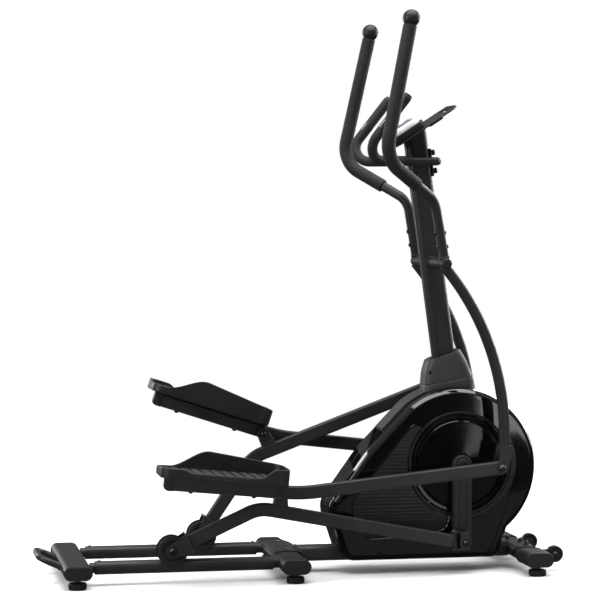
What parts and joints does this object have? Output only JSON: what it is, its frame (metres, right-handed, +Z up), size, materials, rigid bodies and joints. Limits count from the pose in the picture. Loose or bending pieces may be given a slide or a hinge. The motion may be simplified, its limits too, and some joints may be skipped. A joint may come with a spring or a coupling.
{
  "type": "elliptical trainer",
  "caption": "Front-drive elliptical trainer: roller links on floor rails carry the pedals, and swing arms with tall handlebars hang from a leaning mast with a small console.",
  "frame": {"origin": "on the floor, under the middle of the bounding box", "axes": "+X to the front of the machine, where the drive is; +Y to the user's left; +Z up"},
  "size_m": [1.5135, 0.6354, 1.5999],
  "materials": {
    "frame_paint": "satin dark grey powder coat",
    "cover_plastic": "fine matt grey",
    "housing_plastic": "polished black",
    "grip_foam": "matt closed-cell foam",
    "ball_plastic": "satin black",
    "pedal_plastic": "matt dark grey, ribbed tread",
    "cap_plastic": "matt dark grey",
    "foot_rubber": "matt black",
    "wheel_rubber": "matt black",
    "roller_plastic": "smooth dark grey nylon",
    "bare_steel": "turned",
    "flywheel_iron": "turned rim",
    "belt_rubber": "ribbed",
    "pulley_plastic": "moulded",
    "console_plastic": "satin dark grey",
    "bezel_plastic": "pale grey, glossy",
    "screen": "pale lilac grey, switched off",
    "button_rubber": "soft dark grey"
  },
  "bodies": {
    "frame": {"carry_handle": "frame_paint", "rear_stabilizer": "frame_paint", "mid_stabilizer": "frame_paint", "front_stabilizer": "frame_paint", "main_frame": "frame_paint", "mast": "frame_paint", "mast_cover": "cover_plastic", "mast_collar": "cover_plastic", "fixed_handlebar": "frame_paint", "flywheel_fork": "frame_paint", "swing_axle": "bare_steel", "drive_belt": "belt_rubber", "tablet_tray": "console_plastic", "console_body": "console_plastic", "console_bezel": "bezel_plastic", "console_screen": "screen", "rail_right": "frame_paint", "rail_left": "frame_paint", "housing_right": "housing_plastic", "housing_left": "housing_plastic", "front_cap_right": "cap_plastic", "front_cap_left": "cap_plastic", "fixed_grip_right": "grip_foam", "fixed_grip_left": "grip_foam"},
    "crank": {"crank_axle": "bare_steel", "drive_pulley": "pulley_plastic", "crank_arm_right": "frame_paint", "crank_arm_left": "frame_paint", "crank_disc_right": "housing_plastic", "crank_disc_left": "housing_plastic"},
    "flywheel": {"flywheel": "flywheel_iron"},
    "brake": {"magnet_bracket": "bare_steel"},
    "link_right": {"roller_link_right": "frame_paint", "crank_bearing_right": "frame_paint"},
    "roller_right": {"roller_right": "roller_plastic"},
    "pedal_arm_right": {"pedal_arm_right": "frame_paint", "pedal_right": "pedal_plastic"},
    "swing_right": {"swing_arm_right": "frame_paint", "handlebar_right": "frame_paint", "grip_right": "grip_foam", "handle_ball_right": "ball_plastic"},
    "wheel_right": {"transport_wheel_right": "wheel_rubber"},
    "link_left": {"roller_link_left": "frame_paint", "crank_bearing_left": "frame_paint"},
    "roller_left": {"roller_left": "roller_plastic"},
    "pedal_arm_left": {"pedal_arm_left": "frame_paint", "pedal_left": "pedal_plastic"},
    "swing_left": {"swing_arm_left": "frame_paint", "handlebar_left": "frame_paint", "grip_left": "grip_foam", "handle_ball_left": "ball_plastic"},
    "wheel_left": {"transport_wheel_left": "wheel_rubber"},
    "foot_rear_right": {"foot_rear_right": "foot_rubber"},
    "foot_rear_left": {"foot_rear_left": "foot_rubber"},
    "foot_mid_right": {"foot_mid_right": "foot_rubber"},
    "foot_mid_left": {"foot_mid_left": "foot_rubber"},
    "foot_front_right": {"foot_front_right": "foot_rubber"},
    "foot_front_left": {"foot_front_left": "foot_rubber"},
    "mode_button": {"mode_button": "button_rubber"},
    "reset_button": {"reset_button": "button_rubber"}
  },
  "joints": [
    {"name": "crank_turn", "type": "hinge", "parent": "frame", "child": "crank", "pos_m": [0.461, 0, 0.312], "axis": [0, 1, 0], "range_deg": [-20, 20]},
    {"name": "flywheel_spin", "type": "hinge", "parent": "frame", "child": "flywheel", "pos_m": [0.232, 0, 0.188], "axis": [0, 1, 0], "range_deg": [-135, 135]},
    {"name": "link_travel_right", "type": "slide", "parent": "frame", "child": "link_right", "axis": [1, 0, 0], "range_m": [-0.078, 0.078]},
    {"name": "roller_spin_right", "type": "hinge", "parent": "link_right", "child": "roller_right", "pos_m": [-0.383, -0.144, 0.092], "axis": [0, 1, 0], "range_deg": [-185, 185]},
    {"name": "pedal_tilt_right", "type": "hinge", "parent": "link_right", "child": "pedal_arm_right", "pos_m": [-0.073, -0.172, 0.2475], "axis": [0, 1, 0], "range_deg": [-3, 3]},
    {"name": "swing_right", "type": "hinge", "parent": "frame", "child": "swing_right", "pos_m": [0.395, -0.11, 0.8916], "axis": [0, 1, 0], "range_deg": [-8.5, 8.5]},
    {"name": "wheel_spin_right", "type": "hinge", "parent": "frame", "child": "wheel_right", "pos_m": [0.733, -0.13, 0.0495], "axis": [0, 1, 0], "continuous": true},
    {"name": "link_travel_left", "type": "slide", "parent": "frame", "child": "link_left", "axis": [1, 0, 0], "range_m": [-0.078, 0.078]},
    {"name": "roller_spin_left", "type": "hinge", "parent": "link_left", "child": "roller_left", "pos_m": [-0.25923, 0.144, 0.092], "axis": [0, 1, 0], "range_deg": [-185, 185]},
    {"name": "pedal_tilt_left", "type": "hinge", "parent": "link_left", "child": "pedal_arm_left", "pos_m": [-0.07576, 0.172, 0.38631], "axis": [0, 1, 0], "range_deg": [-3, 3]},
    {"name": "swing_left", "type": "hinge", "parent": "frame", "child": "swing_left", "pos_m": [0.395, 0.11, 0.8916], "axis": [0, 1, 0], "range_deg": [-8.5, 8.5]},
    {"name": "wheel_spin_left", "type": "hinge", "parent": "frame", "child": "wheel_left", "pos_m": [0.733, 0.13, 0.0495], "axis": [0, 1, 0], "continuous": true},
    {"name": "mode_button_press", "type": "slide", "parent": "frame", "child": "mode_button", "axis": [-0.5519, 0, 0.8339], "range_m": [-0.0015, 0], "stiffness_N_per_m": 200, "springref_m": 0.002},
    {"name": "reset_button_press", "type": "slide", "parent": "frame", "child": "reset_button", "axis": [-0.5519, 0, 0.8339], "range_m": [-0.0015, 0], "stiffness_N_per_m": 200, "springref_m": 0.002},
    {"name": "foot_rear_right_turn", "type": "hinge", "parent": "frame", "child": "foot_rear_right", "pos_m": [-0.653, -0.205, 0], "axis": [0, 0, 1], "range_deg": [-180, 180]},
    {"name": "foot_rear_left_turn", "type": "hinge", "parent": "frame", "child": "foot_rear_left", "pos_m": [-0.653, 0.205, 0], "axis": [0, 0, 1], "range_deg": [-180, 180]},
    {"name": "foot_mid_right_turn", "type": "hinge", "parent": "frame", "child": "foot_mid_right", "pos_m": [-0.043, -0.205, 0], "axis": [0, 0, 1], "range_deg": [-180, 180]},
    {"name": "foot_mid_left_turn", "type": "hinge", "parent": "frame", "child": "foot_mid_left", "pos_m": [-0.043, 0.205, 0], "axis": [0, 0, 1], "range_deg": [-180, 180]},
    {"name": "foot_front_right_turn", "type": "hinge", "parent": "frame", "child": "foot_front_right", "pos_m": [0.66, -0.205, 0], "axis": [0, 0, 1], "range_deg": [-180, 180]},
    {"name": "foot_front_left_turn", "type": "hinge", "parent": "frame", "child": "foot_front_left", "pos_m": [0.66, 0.205, 0], "axis": [0, 0, 1], "range_deg": [-180, 180]},
    {"name": "brake_lift", "type": "hinge", "parent": "frame", "child": "brake", "pos_m": [0.14689, 0, 0.25449], "axis": [0, -1, 0], "range_deg": [0, 5]}
  ],
  "couplings": [
    {"joint": "flywheel_spin", "follows": "crank_turn", "ratio": 6.4872},
    {"joint": "link_travel_right", "follows": "crank_turn", "m_per_rad": -0.22},
    {"joint": "roller_spin_right", "follows": "crank_turn", "ratio": -9.0164},
    {"joint": "pedal_tilt_right", "follows": "crank_turn", "ratio": 0.0962},
    {"joint": "swing_right", "follows": "crank_turn", "ratio": 0.367},
    {"joint": "link_travel_left", "follows": "crank_turn", "m_per_rad": 0.22},
    {"joint": "roller_spin_left", "follows": "crank_turn", "ratio": 9.0164},
    {"joint": "pedal_tilt_left", "follows": "crank_turn", "ratio": -0.0998},
    {"joint": "swing_left", "follows": "crank_turn", "ratio": -0.3899}
  ]
}
